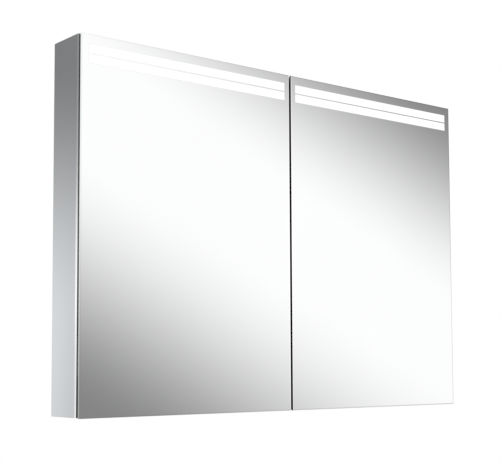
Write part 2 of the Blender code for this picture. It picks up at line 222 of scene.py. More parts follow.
SIDE_COLOUR = (0.715, 0.735, 0.755)
LIP_EDGE = -0.0844
side_metal = side_aluminium("side_profile_aluminium", SIDE_COLOUR, (0.97, 0.975, 0.975),
                            LIP_EDGE)
panel_metal = brushed_aluminium("panel_aluminium", 0, (0.86, 0.87, 0.88), (0.30, 0.40))
upright_metal = brushed_aluminium("upright_aluminium", 2, (0.84, 0.85, 0.86), (0.30, 0.40))
hinge_steel = plated("hinge_black_nickel", (0.15, 0.15, 0.16), (0.22, 0.36))
bright_steel = plated("pin_chrome", (0.82, 0.83, 0.85), (0.05, 0.12))
zinc = plated("zinc_plated_steel", (0.62, 0.63, 0.66), (0.28, 0.42))
print("metals", side_metal.name, panel_metal.name, hinge_steel.name)

# %% [markdown]
# ## Mirror and glass
# A mirror is a metal with almost no roughness. What makes it believable is how little it
# differs from perfect: a trace of uneven wiping, and edges that aren't mirror at all. The
# narrow facets round each pane are nearly as smooth as its face, and the cut edge is grey.
#
# A few finishes below paint light by the place on the piece: the streak on the side's lip, the
# drift of reflection across the side sheets, the tone along the facets, the glow of the facets
# beside the gap, the glow of the cut edges, the black painted shade on the edges beside the gap
# and the grey of the edge ribbon. That is a stage trick and not how the material behaves. It
# stays on the piece when the lamps change or a door opens, so leave it out where the light has
# to be right.

# %% Mirror finishes


def mirror(name, colour, rough):
    mat, tree, shader = start_finish(name, Metallic=1.0)
    wiping = spots(tree, 5.0, (1.0, 1.0, 0.35), 4.0)
    tint(tree, shader, remap(tree, wiping, (0.3, 0.7), (0.0, 1.0)),
         tuple(c * 0.985 for c in colour), colour)
    tree.links.new(remap(tree, wiping, (0.35, 0.7), rough), shader.inputs["Roughness"])
    return mat


def ground_glass(name, dark, light, metallic, rough):
    mat, tree, shader = start_finish(name, Metallic=metallic)
    grains = spots(tree, 900.0, detail=2.0)
    tint(tree, shader, remap(tree, grains, (0.3, 0.7), (0.0, 1.0)), dark, light)
    tree.links.new(remap(tree, grains, (0.3, 0.7), rough), shader.inputs["Roughness"])
    return mat


door_silver = mirror("door_mirror_silver", (0.985, 0.988, 0.99), (0.0, 0.012))
inner_silver = mirror("inner_mirror_silver", (0.94, 0.95, 0.955), (0.0, 0.02))


def side_sheet(name, colour):
    """Polished sheet. A drift of tone across its width, more at its foot, is a painted
    reflection.
    """
    mat = mirror(name, colour, (0.05, 0.09))
    tree = mat.node_tree
    shader = tree.nodes["Principled BSDF"]
    place = add_node(tree, "ShaderNodeTexCoord")
    split = add_node(tree, "ShaderNodeSeparateXYZ", {0: place.outputs["Object"]})
    across = remap(tree, split.outputs[1], (-0.085, -0.005), (-0.5, 0.5), smooth=True)
    lean = calc(tree, "MULTIPLY", calc(tree, "SUBTRACT", 0.22, split.outputs[2]), 0.25)
    factor = calc(tree, "ADD", calc(tree, "MULTIPLY", across, lean), 1.0)
    base = shader.inputs["Base Color"].links[0].from_socket
    # The base colour is scaled by place on the sheet: a painted reflection, not the metal's own
    # tone.
    painted_reflection = add_node(tree, "ShaderNodeVectorMath", {0: base, "Scale": factor},
                     operation="SCALE")
    tree.links.new(painted_reflection.outputs[0], shader.inputs["Base Color"])
    return mat


side_silver = side_sheet("side_sheet_polished", SIDE_COLOUR)


def ground_facet(name, left, right):
    """A narrow facet. Its tone, from the left end to the right, is painted shade."""
    mat, tree, shader = start_finish(name, Metallic=1.0)
    place = add_node(tree, "ShaderNodeTexCoord")
    split = add_node(tree, "ShaderNodeSeparateXYZ", {0: place.outputs["Object"]})
    along = remap(tree, split.outputs[0], (-0.05, 0.5), (0.0, 1.0))
    marks = spots(tree, 60.0, detail=4.0)
    # Lighter at the left, darker to the right: painted shade, with random grinding marks on top.
    tint(tree, shader, calc(tree, "ADD", along, remap(tree, marks, (0.3, 0.7), (-0.06, 0.06)),
                            clamp=True), (left,) * 3, (right,) * 3)
    tree.links.new(remap(tree, marks, (0.3, 0.7), (0.0, 0.03)), shader.inputs["Roughness"])
    return mat


facet_outer = ground_facet("facet_outer", 0.92, 0.66)
facet_gap = mirror("facet_beside_gap", (0.96, 0.965, 0.97), (0.0, 0.03))
# The facets beside the gap get a faint even white glow: a painted highlight.
facet_gap.node_tree.nodes["Principled BSDF"].inputs["Emission Strength"].default_value = 0.16
facet_gap.node_tree.nodes["Principled BSDF"].inputs["Emission Color"].default_value = \
    (1.0, 1.0, 1.0, 1.0)


def edge_of_glass(name, dark, light, glow):
    """The cut edge. A painted glow, stronger upwards, stands for light in the pane."""
    mat, tree, shader = start_finish(name, Emission_Strength=glow)
    grains = spots(tree, 900.0, detail=2.0)
    tint(tree, shader, remap(tree, grains, (0.3, 0.7), (0.0, 1.0)), dark, light)
    tree.links.new(remap(tree, grains, (0.3, 0.7), (0.18, 0.30)), shader.inputs["Roughness"])
    place = add_node(tree, "ShaderNodeTexCoord")
    split = add_node(tree, "ShaderNodeSeparateXYZ", {0: place.outputs["Object"]})
    rise = remap(tree, split.outputs[2], (-0.33, 0.05), (0.0, 1.0))
    tint(tree, shader, rise, (0.0, 0.0, 0.0), (0.96, 1.0, 0.98), "Emission Color")
    return mat


glass_edge = edge_of_glass("cut_glass_edge", (0.40, 0.42, 0.415), (0.46, 0.48, 0.475), 0.48)
# The cut edges beside the gap are made black: painted shade for the dark slit between the doors.
gap_edge_shade = ground_glass("sealed_edge_black", (0.004, 0.004, 0.004), (0.008, 0.008, 0.008),
                           0.0, (0.45, 0.60))
gap_edge_shade.node_tree.nodes["Principled BSDF"].inputs["Specular IOR Level"].default_value = 0.1
backing = ground_glass("mirror_backing_paint", (0.11, 0.12, 0.13), (0.15, 0.16, 0.17), 0.0,
                       (0.55, 0.70))


def clear_glass():
    """Shelf glass: nearly colourless through its face, green where the edge is seen."""
    mat, tree, shader = start_finish("shelf_glass_clear", Transmission_Weight=1.0, IOR=1.5)
    place = add_node(tree, "ShaderNodeTexCoord")
    split = add_node(tree, "ShaderNodeSeparateXYZ", {0: place.outputs["Normal"]})
    edge = calc(tree, "SUBTRACT", 1.0, calc(tree, "ABSOLUTE", split.outputs[2]))
    smears = spots(tree, 12.0, seed=7.0)
    both = calc(tree, "ADD", edge, remap(tree, smears, (0.4, 0.8), (0.0, 0.08)), clamp=True)
    tint(tree, shader, both, (0.96, 0.985, 0.975), (0.45, 0.78, 0.66))
    tree.links.new(remap(tree, smears, (0.3, 0.7), (0.0, 0.03)), shader.inputs["Roughness"])
    return mat


shelf_glass = clear_glass()
print("mirrors", door_silver.name, side_silver.name, "glass", shelf_glass.name)

# %% [markdown]
# ## Lit pieces
# The lamp is on. Frosted glass in front of it is a plain white, a little less bright along
# its etched border. The opal cover behind shows a faint row of lamps, which a sine of the
# position along the cover draws.

# %% Light finishes


def glowing(name, power, dim, body_colour, pitch=None):
    mat, tree, shader = start_finish(name, Roughness=0.45, Emission_Strength=power)
    shader.inputs["Base Color"].default_value = (*body_colour, 1.0)
    if pitch is None:
        pattern = remap(tree, spots(tree, 40.0, detail=2.0), (0.3, 0.7), (0.0, 1.0))
    else:
        place = add_node(tree, "ShaderNodeTexCoord")
        split = add_node(tree, "ShaderNodeSeparateXYZ", {0: place.outputs["Object"]})
        wave = calc(tree, "COSINE", calc(tree, "MULTIPLY", split.outputs[0],
                                         2 * math.pi / pitch))
        pattern = remap(tree, wave, (-1.0, 1.0), (0.0, 1.0))
    tint(tree, shader, pattern, (dim, dim, dim * 1.01), (1.0, 1.0, 1.0), "Emission Color")
    return mat


LAMP_PITCH = 0.050
frosted = glowing("frosted_window_lit", 1.0, 0.985, (0.06, 0.06, 0.06))
frosted_rim = glowing("frosted_window_rim", 0.80, 0.93, (0.06, 0.06, 0.06))
opal_cover = glowing("opal_cover_lit", 2.2, 0.62, (0.86, 0.87, 0.88), LAMP_PITCH)
opal_strip = glowing("opal_strip_lit", 0.80, 0.93, (0.86, 0.87, 0.88))
bay_lens = glowing("bay_lens_lit", 1.6, 0.90, (0.86, 0.87, 0.88))
print("lit", frosted.name, opal_cover.name)

# %% [markdown]
# ## Paint, plastic and rubber
# Powder coat has the fine skin of an orange. Moulded plastic has a much finer grain, and
# rubber is nearly black, dull and slightly dusty.

# %% Paint, plastic and rubber finishes


def moulded(name, colour, grain, rough, relief):
    mat, tree, shader = start_finish(name)
    skin = spots(tree, grain, detail=2.0)
    patches = spots(tree, 14.0, seed=5.0)
    tint(tree, shader, remap(tree, patches, (0.3, 0.7), (0.0, 1.0)),
         tuple(c * 0.95 for c in colour), colour)
    tree.links.new(remap(tree, skin, (0.3, 0.7), rough), shader.inputs["Roughness"])
    emboss(tree, shader, skin, relief, 0.0003)
    return mat


powder_white = moulded("powder_coat_white", (0.80, 0.81, 0.82), 420.0, (0.38, 0.52), 0.12)
plastic_white = moulded("moulded_plastic_white", (0.84, 0.84, 0.83), 900.0, (0.24, 0.34), 0.05)
plastic_grey = moulded("moulded_plastic_grey", (0.16, 0.165, 0.175), 800.0, (0.42, 0.58), 0.12)
board_white = moulded("lamp_board_white", (0.82, 0.84, 0.82), 300.0, (0.30, 0.42), 0.04)
rubber_black = moulded("seal_rubber", (0.012, 0.012, 0.013), 500.0, (0.60, 0.80), 0.10)
rubber_black.node_tree.nodes["Principled BSDF"].inputs["Specular IOR Level"].default_value = 0.2


def ribbon_rubber(name, foot, waist, head):
    """Rubber in the slit beside a door. Its grey at mid height is painted light."""
    mat = moulded(name, (0.05, 0.05, 0.05), 500.0, (0.60, 0.80), 0.10)
    tree = mat.node_tree
    shader = tree.nodes["Principled BSDF"]
    shader.inputs["Specular IOR Level"].default_value = 0.2
    place = add_node(tree, "ShaderNodeTexCoord")
    split = add_node(tree, "ShaderNodeSeparateXYZ", {0: place.outputs["Object"]})
    # Dark at the foot, grey at mid height and darker again at the head: painted light on a dark
    # strip.
    lower = remap(tree, split.outputs[2], (-0.30, -0.05), (foot, waist))
    upper = remap(tree, split.outputs[2], (-0.05, 0.30), (0.0, head - waist))
    dust = remap(tree, spots(tree, 90.0), (0.3, 0.7), (-0.006, 0.006))
    grey = calc(tree, "ADD", calc(tree, "ADD", lower, upper), dust)
    tint(tree, shader, grey, (0.0, 0.0, 0.0), (1.0, 1.0, 1.02))
    return mat


ribbon_grey = ribbon_rubber("seal_ribbon_rubber", 0.025, 0.200, 0.090)
silicone = moulded("buffer_silicone", (0.62, 0.64, 0.65), 300.0, (0.20, 0.32), 0.03)
brass = plated("contact_brass", (0.72, 0.55, 0.30), (0.18, 0.32))
print("coats", powder_white.name, plastic_white.name, rubber_black.name)

# %% [markdown]
# ## Finish the solids that keep their shape
# Most solids are right as they are: a flat panel is a flat panel. Each gets the finish that
# matches its job. A few are replaced further down by pieces with more shape.

# %% Give each solid its finish
FINISHES = (
    ("side_profile", side_metal), ("side_mirror", side_silver), ("top_panel", panel_metal),
    ("bottom_panel", panel_metal), ("centre_partition", upright_metal),
    ("door_stile", upright_metal), ("door_inner_mirror", inner_silver),
    ("back_mirror", inner_silver), ("door_light_strip", opal_strip),
    ("glass_shelf", shelf_glass), ("shelf_pin", bright_steel), ("hinge", hinge_steel),
    ("strike_plate", zinc), ("wall_hanger", zinc), ("light_housing", powder_white),
    ("back_panel", powder_white), ("light_diffuser", opal_cover), ("led_board", board_white),
    ("led_driver", plastic_grey), ("socket_insert", plastic_grey),
    ("magnet_catch", plastic_grey), ("socket_housing", plastic_white),
    ("switch", plastic_white), ("cable_gland", rubber_black), ("door_mirror", door_silver),
)
for name, node in nodes.items():
    finish = next(mat for start, mat in FINISHES if name.startswith(start))
    node.data.materials.clear()
    node.data.materials.append(finish)
print("finished", len(nodes), "solids")

# %% [markdown]
# ## Modelling helpers
# New pieces are modelled as by hand: add a primitive at its size and place, select faces by
# where they point, and use inset, extrude, bevel and Boolean. These helpers keep the
# selection tidy, because an operator acts on everything that is selected.

# %% Modelling helpers


def only(obj):
    bpy.ops.object.select_all(action="DESELECT")
    obj.select_set(True)
    bpy.context.view_layer.objects.active = obj


def block(name, low, high):
    """A box between two corners, with its place in its mesh."""
    bpy.ops.object.select_all(action="DESELECT")
    low, high = Vector(low), Vector(high)
    bpy.ops.mesh.primitive_cube_add(size=1.0, location=(low + high) / 2)
    obj = bpy.context.object
    obj.name = name
    obj.scale = high - low
    bpy.ops.object.transform_apply(location=True, rotation=True, scale=True)
    return obj


def rod(name, centre, radius, depth, axis, sides=24):
    """A round bar along X, Y or Z."""
    bpy.ops.object.select_all(action="DESELECT")
    turn = {"X": (0.0, math.pi / 2, 0.0), "Y": (math.pi / 2, 0.0, 0.0), "Z": (0.0, 0.0, 0.0)}
    bpy.ops.mesh.primitive_cylinder_add(vertices=sides, radius=radius, depth=depth,
                                        location=centre, rotation=turn[axis])
    obj = bpy.context.object
    obj.name = name
    bpy.ops.object.transform_apply(location=True, rotation=True, scale=True)
    return obj


def pick_faces(obj, test):
    """Enter edit mode with only the faces that pass the test selected."""
    only(obj)
    bpy.context.tool_settings.mesh_select_mode = (False, False, True)
    bpy.ops.object.mode_set(mode="EDIT")
    bpy.ops.mesh.select_all(action="DESELECT")
    bpy.ops.object.mode_set(mode="OBJECT")
    for face in obj.data.polygons:
        face.select = bool(test(face.center, face.normal))
    bpy.ops.object.mode_set(mode="EDIT")


def leave_edit():
    bpy.ops.object.mode_set(mode="OBJECT")


def cut_with(obj, *tools):
    """Cut shapes out of a piece with a Boolean that is then applied."""
    for tool in tools:
        only(obj)
        step = obj.modifiers.new("cut", "BOOLEAN")
        step.operation = "DIFFERENCE"
        step.solver = "EXACT"
        step.object = tool
        bpy.ops.object.modifier_apply(modifier=step.name)
        bpy.data.objects.remove(tool, do_unlink=True)


def round_edges(obj, width, steps=2, angle=40.0):
    only(obj)
    step = obj.modifiers.new("edges", "BEVEL")
    step.width = width
    step.segments = steps
    step.limit_method = "ANGLE"
    step.angle_limit = math.radians(angle)
    bpy.ops.object.modifier_apply(modifier=step.name)


def join_pieces(pieces, name):
    bpy.ops.object.select_all(action="DESELECT")
    for piece in pieces:
        piece.select_set(True)
    bpy.context.view_layer.objects.active = pieces[0]
    if len(pieces) > 1:
        bpy.ops.object.join()
    joined = bpy.context.object
    joined.name = name
    return joined


def hand_over(obj, body, finish=None, smooth=35.0):
    """Shade a finished piece, give it its finish and let it ride on its body."""
    only(obj)
    bpy.ops.object.shade_smooth_by_angle(angle=math.radians(smooth))
    if finish is not None:
        obj.data.materials.clear()
        obj.data.materials.append(finish)
    obj.name = obj.name.replace(" ", "_")
    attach(obj, body)
    return obj


SIDES = ((-1, "left"), (1, "right"))
print("modelling helpers ready")

# %% [markdown]
# ## The door panes
# Each door is a silvered pane. A grinder runs a narrow, very flat facet round its face, and
# the cut edge behind the facet shows bare glass. Inset with a little depth makes the facet
# in one step, and each face then gets its own finish by the way it points.

# %% Door panes
FACET_W = 0.0023
FACET_DEPTH = 0.00001
EDGE_BREAK = 0.0004
GAP_TRIM = 0.0006
GAP_HALF = 0.006


def door_pane(word):
    low, high = [list(corner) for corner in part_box("door_mirror_" + word)]
    front = low[1]
    if word == "left":
        high[0] -= GAP_TRIM
    else:
        low[0] += GAP_TRIM
    pane = block("door_pane_" + word, (low[0], front + FACET_DEPTH, low[2]), high)
    pick_faces(pane, lambda centre, normal: normal.y < -0.9)
    bpy.ops.mesh.inset(thickness=FACET_W, depth=FACET_DEPTH)
    leave_edit()
    round_edges(pane, EDGE_BREAK, 1, 60.0)
    for finish in (door_silver, facet_outer, facet_gap, glass_edge, backing, gap_edge_shade):
        pane.data.materials.append(finish)
    middle = (low[2] + high[2]) / 2
    for face in pane.data.polygons:
        x, z = face.center.x, face.center.z
        if face.normal.y > 0.9:
            face.material_index = 4
        elif face.normal.y > -0.98:
            # Cut edges beside the gap take the black painted shade of the slit; the others show
            # bare glass.
            face.material_index = 5 if abs(x) < GAP_HALF else 3
        elif low[0] + FACET_W < x < high[0] - FACET_W and abs(z - middle) < 0.3:
            face.material_index = 0
        else:
            beside_gap = abs(face.normal.x) > abs(face.normal.z) and abs(x) < GAP_HALF
            face.material_index = 2 if beside_gap else 1
    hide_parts("door_mirror_" + word)
    hand_over(pane, "door_" + word, smooth=0.1)
    return pane


for side, word in SIDES:
    pane = door_pane(word)
    print(pane.name, "faces", len(pane.data.polygons))

# %% [markdown]
# ## The side sheets
# On three edges the polished sheet laps over the profile that it is glued to, so no frame
# shows round it, only the bright lip in front. Its corners are broken by a small bevel.

# %% Side sheets
LAP = 0.0002
LAP_FRONT = -0.0852


def side_lap(side, word):
    low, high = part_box("side_profile_" + word)
    outer = high[0] if side > 0 else -low[0]
    x = sorted((side * (outer - 0.0001), side * (outer + LAP)))
    skin = block("side_sheet_" + word, (x[0], LAP_FRONT, low[2] + 0.0002),
                 (x[1], high[1] - 0.0002, high[2] - 0.0002))
    pick_faces(skin, lambda centre, normal: normal.x * side > 0.9)
    bpy.ops.mesh.inset(thickness=0.0012, depth=0.00004)
    leave_edit()
    round_edges(skin, 0.00008, 1, 60.0)
    sheet = block("sheet", *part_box("side_mirror_" + word))
    skin = join_pieces([skin, sheet], "side_sheet_" + word)
    skin.data.materials.append(side_silver)
    skin.data.materials.append(side_metal)
    for face in skin.data.polygons:
        face.material_index = 1 if face.center.y < LAP_FRONT + 0.0014 else 0
    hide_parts("side_mirror_" + word)
    return hand_over(skin, "cabinet", smooth=0.1)


for side, word in SIDES:
    skin = side_lap(side, word)
    print(skin.name, "faces", len(skin.data.polygons))

# %% [markdown]
# ## The lit windows
# The silver is blasted away in two bands along the top of each door, and a thin line of
# mirror is left between them. A frosted plate lies in each band, a tenth of a millimetre
# proud, and its border is a touch dimmer than its middle, as etched edges are.

# %% Frosted windows
WINDOW_FROM_GAP = 0.01475
WINDOW_TO = 0.4850
WINDOW_BANDS = (("lower", 0.2945, 0.3121), ("upper", 0.3139, 0.3315))
WINDOW_RIM = 0.0009


def window(side, word, level, base, top):
    x = sorted((side * WINDOW_FROM_GAP, side * WINDOW_TO))
    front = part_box("door_mirror_" + word)[0][1]
    plate = block("window_%s_%s" % (word, level), (x[0], front - 0.0001, base),
                  (x[1], front + 0.0002, top))
    pick_faces(plate, lambda centre, normal: normal.y < -0.9)
    bpy.ops.mesh.inset(thickness=WINDOW_RIM, depth=0.0)
    leave_edit()
    plate.data.materials.append(frosted_rim)
    plate.data.materials.append(frosted)
    for face in plate.data.polygons:
        inside = face.normal.y < -0.9 and face.area > 0.5 * (x[1] - x[0]) * (top - base)
        face.material_index = 1 if inside else 0
    return hand_over(plate, "door_" + word)


for side, word in SIDES:
    for level, base, top in WINDOW_BANDS:
        plate = window(side, word, level, base, top)
        print(plate.name, "high", round((top - base) * 1000, 1), "mm")

# %% [markdown]
# ## Seals and buffers
# A rubber seal on the partition closes the slit between the doors. Its black is partly the
# rubber's own and partly painted shade for the slit. Thinner seals run round the body's front
# edge, where they also stop lamp light from leaking out; the dark ribbon on each side's front
# edge is painted shade for the recess beside a door, with painted light at mid height. Small
# domes of silicone keep glass from touching metal.

# %% Seals and buffers
BODY_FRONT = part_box("side_profile_left")[0][1]
PARTITION_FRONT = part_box("centre_partition")[0][1]
INNER_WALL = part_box("side_profile_right")[0][0]
FLOOR_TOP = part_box("bottom_panel")[1][2]
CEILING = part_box("top_panel")[0][2]


def seal(name, low, high):
    strip = block(name, low, high)
    pick_faces(strip, lambda centre, normal: normal.y < -0.9)
    bpy.ops.mesh.inset(thickness=0.0005, depth=0.0003)
    leave_edit()
    round_edges(strip, 0.0002, 2, 30.0)
    return hand_over(strip, "cabinet", rubber_black)


PANE_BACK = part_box("door_mirror_left")[1][1]
LIP_HALF = 0.0052
HALF_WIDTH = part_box("side_profile_right")[1][0]
HALF_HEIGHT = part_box("side_profile_right")[1][2]


def centre_seal():
    """A web on the partition and a broad soft lip close behind the panes."""
    web = block("web", (-0.0022, PANE_BACK + 0.0012, FLOOR_TOP + 0.001),
                (0.0022, PARTITION_FRONT - 0.0001, CEILING - 0.0005))
    pick_faces(web, lambda centre, normal: normal.y > 0.9)
    bpy.ops.mesh.extrude_region_move()
    bpy.ops.transform.resize(value=(2.2, 1.0, 1.0))
    leave_edit()
    lip = block("lip", (-LIP_HALF, PANE_BACK + 0.0006, -HALF_HEIGHT + 0.0012),
                (LIP_HALF, PANE_BACK + 0.0018, CEILING - 0.0005))
    round_edges(lip, 0.0005, 2)
    joined = join_pieces([web, lip], "seal_centre")
    # The black of this seal is partly the rubber's own and partly painted shade for the slit.
    return hand_over(joined, "cabinet", rubber_black)


def edge_seal(side, word):
    """A ribbon on the front edge of the side, notched where the hinges are."""
    x = sorted((side * (HALF_WIDTH - 0.0002), side * (HALF_WIDTH - 0.0052)))
    ribbon = block("seal_edge_" + word, (x[0], BODY_FRONT - 0.0005, -HALF_HEIGHT + 0.0012),
                   (x[1], BODY_FRONT - 0.0001, HALF_HEIGHT - 0.0012))
    notches = []
    for level in ("lower", "upper"):
        low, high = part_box("hinge_body_leaf_%s_%s" % (word, level))
        notch = sorted((side * (HALF_WIDTH - 0.0016), side * (HALF_WIDTH - 0.0100)))
        notches.append(block("notch", (notch[0], BODY_FRONT - 0.01, low[2] - 0.0015),
                             (notch[1], BODY_FRONT + 0.01, high[2] + 0.0015)))
    cut_with(ribbon, *notches)
    round_edges(ribbon, 0.0001, 1, 30.0)
    # The ribbon's dark is painted shade in the recess beside the door; its grey at mid height is
    # painted light.
    return hand_over(ribbon, "cabinet", ribbon_grey)


seals = [centre_seal(),
         seal("seal_top", (-INNER_WALL + 0.001, BODY_FRONT - 0.0010, CEILING + 0.0015),
              (INNER_WALL - 0.001, BODY_FRONT - 0.0001, CEILING + 0.0035))]
for side, word in SIDES:
    seals.append(edge_seal(side, word))
    x = sorted((side * (INNER_WALL + 0.0003), side * (INNER_WALL + 0.0021)))
    seals.append(seal("seal_side_" + word, (x[0], BODY_FRONT - 0.0010, FLOOR_TOP),
                      (x[1], BODY_FRONT - 0.0001, CEILING)))


def buffer_dome(name, centre, radius, tall):
    """Half a ball, flattened, on the back of the front pane."""
    bpy.ops.object.select_all(action="DESELECT")
    bpy.ops.mesh.primitive_uv_sphere_add(segments=20, ring_count=10, radius=radius,
                                         location=(0.0, 0.0, 0.0))
    dome = bpy.context.object
    dome.name = name
    pick_faces(dome, lambda middle, normal: True)
    bpy.ops.mesh.bisect(plane_co=(0.0, 0.0, 0.0), plane_no=(0.0, -1.0, 0.0), use_fill=True,
                        clear_outer=True)
    leave_edit()
    dome.scale = (1.0, tall / radius, 1.0)
    dome.location = centre
    bpy.ops.object.transform_apply(location=True, rotation=True, scale=True)
    return dome


for side, word in SIDES:
    domes = [buffer_dome("dome", (side * across, PANE_BACK + 0.0001, 0.3430), 0.0040, 0.0052)
             for across in (0.018, 0.455)]
    dome = join_pieces(domes, "buffers_" + word)
    hand_over(dome, "door_" + word, silicone)
print("seals", len(seals), "buffer pieces", 2)

# %% [markdown]
# ## Screws
# One countersunk head with a cross slot is modelled once: a short cylinder, its rim
# inset, and two crossing slots cut by Booleans. It is copied to every place, turned by a
# matrix into the direction it faces, and each group of heads becomes one piece.

# %% Screws


def screw_head(radius, proud):
    """A head at the origin that faces -Y, standing proud of the plane y = 0."""
    head = rod("head", (0.0, (0.0006 - proud) / 2, 0.0), radius, proud + 0.0006, "Y", 20)
    pick_faces(head, lambda centre, normal: normal.y < -0.9)
    bpy.ops.mesh.inset(thickness=radius * 0.18, depth=proud * 0.5)
    leave_edit()
    slots = []
    for turn in (0.0, math.pi / 2):
        slot = block("slot", (-radius * 0.62, -0.01, -radius * 0.12),
                     (radius * 0.62, 0.0003, radius * 0.12))
        slot.data.transform(Matrix.Rotation(turn, 4, "Y"))
        slots.append(slot)
    cut_with(head, *slots)
    return head


BODY_SCREW_X = 0.4913
BODY_SCREW_RISE = (-0.022, 0.022)
DOOR_SCREW_X = 0.4820
DOOR_SCREW_RISE = (-0.024, 0.0, 0.024)
SCREW_PROUD = 0.0002
FACING = {"-Y": Matrix.Identity(4), "+Y": Matrix.Rotation(math.pi, 4, "Z"),
          "-X": Matrix.Rotation(-math.pi / 2, 4, "Z"), "+X": Matrix.Rotation(math.pi / 2, 4, "Z")}


def screws(name, places, facing, radius, proud, body, finish):
    heads = []
    first = screw_head(radius, proud)
    for index, place in enumerate(places):
        head = first if index == len(places) - 1 else first.copy()
        if head is not first:
            head.data = first.data.copy()
            bpy.context.scene.collection.objects.link(head)
        spin = Matrix.Rotation(0.7 * index, 4, "Y")
        heads.append((head, Matrix.Translation(place) @ FACING[facing] @ spin))
    for head, matrix in heads:
        head.data.transform(matrix)
    joined = join_pieces([head for head, matrix in heads], name)
    return hand_over(joined, body, finish)


for side, word in SIDES:
    for level in ("lower", "upper"):
        low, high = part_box("hinge_body_leaf_%s_%s" % (word, level))
        middle = (low[2] + high[2]) / 2
        x = side * BODY_SCREW_X
        places = [(x, BODY_FRONT - 0.0013, middle + rise) for rise in BODY_SCREW_RISE]
        screws("screws_body_%s_%s" % (word, level), places, "-Y", 0.0024, SCREW_PROUD,
               "cabinet", zinc)
        x = side * DOOR_SCREW_X
        places = [(x, BODY_FRONT - 0.0022, middle + rise) for rise in DOOR_SCREW_RISE]
        screws("screws_door_%s_%s" % (word, level), places, "+Y", 0.0028, SCREW_PROUD,
               "door_" + word, zinc)
print("hinge screws ready")

# %% [markdown]
# ## The back sheet
# A flat steel sheet would rattle, so such sheets are pressed with shallow fields that make
# them stiff. Here three round-cornered blocks are cut out of the back to a little over a
# millimetre, and the mouths for the wall hooks and the hole for the cable are cut as well.

# %% Back sheet
FIELD_DEPTH = 0.0012
FIELD_LOW, FIELD_HIGH = -0.300, 0.262
FIELD_SPANS = ((-0.455, -0.165), (-0.145, 0.145), (0.165, 0.455))
back_low, back_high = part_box("back_panel")


def back_sheet():
    sheet = block("back_sheet", back_low, back_high)
    fields = []
    for x0, x1 in FIELD_SPANS:
        field = block("field", (x0, -FIELD_DEPTH, FIELD_LOW), (x1, 0.01, FIELD_HIGH))
        round_edges(field, 0.020, 6, 60.0)
        fields.append(field)
    tools = fields
    for side, word in SIDES:
        x = sorted((side * 0.438, side * 0.468))
        tools.append(block("mouth", (x[0], -0.02, 0.292), (x[1], 0.02, 0.316)))
    tools.append(rod("entry", (0.230, -0.003, 0.311), 0.0085, 0.03, "Y", 40))
    cut_with(sheet, *tools)
    round_edges(sheet, 0.0005, 2, 50.0)
    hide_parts("back_panel")
    return hand_over(sheet, "cabinet", powder_white)


sheet = back_sheet()
edge_x, edge_z = back_high[0] - 0.012, back_high[2] - 0.010
places = [(x, 0.0, z) for z in (-edge_z, edge_z) for x in (-edge_x, -0.160, 0.160, edge_x)]
places += [(x, 0.0, z) for x in (-edge_x, edge_x) for z in (-0.12, 0.10)]
screws("screws_back", places, "+Y", 0.0035, SCREW_PROUD, "cabinet", zinc)
print("back sheet faces", len(sheet.data.polygons), "screws", len(places))

# %% [markdown]
# ## Fittings inside
# Small things tell the size of big ones: the steel poles of the door magnets, a raised
# ring and brass sleeves in the shaver socket, an indicator in the switch plate, lenses for
# the light that falls on the shelves, and the screw that sets each wall hook's height.

# %% Fittings inside
for side, word in SIDES:
    catch_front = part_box("magnet_catch_" + word)[0][1]
    poles = []
    for along in (0.0145, 0.0205):
        x = sorted((side * (along - 0.0014), side * (along + 0.0014)))
        pole = block("pole", (x[0], catch_front + 0.0001, -0.053),
                     (x[1], catch_front + 0.0012, -0.027))
        round_edges(pole, 0.0003, 2)
        poles.append(pole)
    pole = join_pieces(poles, "magnet_poles_" + word)
    hand_over(pole, "cabinet", zinc)

socket_low, socket_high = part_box("socket_housing")
SOCKET_Y = (socket_low[1] + socket_high[1]) / 2
SOCKET_Z = (socket_low[2] + socket_high[2]) / 2
bpy.ops.object.select_all(action="DESELECT")
bpy.ops.mesh.primitive_torus_add(major_segments=64, minor_segments=10, major_radius=0.0208,
                                 minor_radius=0.0007,
                                 location=(socket_low[0], SOCKET_Y, SOCKET_Z),
                                 rotation=(0.0, math.pi / 2, 0.0))
ring = bpy.context.object
ring.name = "socket_ring"
bpy.ops.object.transform_apply(location=True, rotation=True, scale=True)
hand_over(ring, "cabinet", plastic_white)
INSERT_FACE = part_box("socket_insert")[0][0]
sleeves = []
for dz in (-0.0095, 0.0095):
    sleeve = rod("sleeve", (INSERT_FACE + 0.0004, SOCKET_Y, SOCKET_Z + dz), 0.0024, 0.0014,
                 "X", 24)
    pick_faces(sleeve, lambda centre, normal: normal.x < -0.9)
    bpy.ops.mesh.inset(thickness=0.0005, depth=0.0)
    bpy.ops.mesh.inset(thickness=0.0001, depth=-0.0010)
    leave_edit()
    sleeves.append(sleeve)
sleeve = join_pieces(sleeves, "socket_sleeves")
hand_over(sleeve, "cabinet", brass)
places = [(socket_low[0], SOCKET_Y + dy, SOCKET_Z + dz)
          for dy, dz in ((-0.0215, -0.0215), (0.0215, 0.0215))]
screws("screws_socket", places, "-X", 0.0020, SCREW_PROUD, "cabinet", zinc)

plate_low, plate_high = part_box("switch_plate")
lens = rod("switch_indicator", (plate_low[0] - 0.0001, SOCKET_Y, plate_high[2] - 0.0032),
           0.0011, 0.0010, "X", 20)
round_edges(lens, 0.0003, 3)
hand_over(lens, "cabinet", bay_lens)

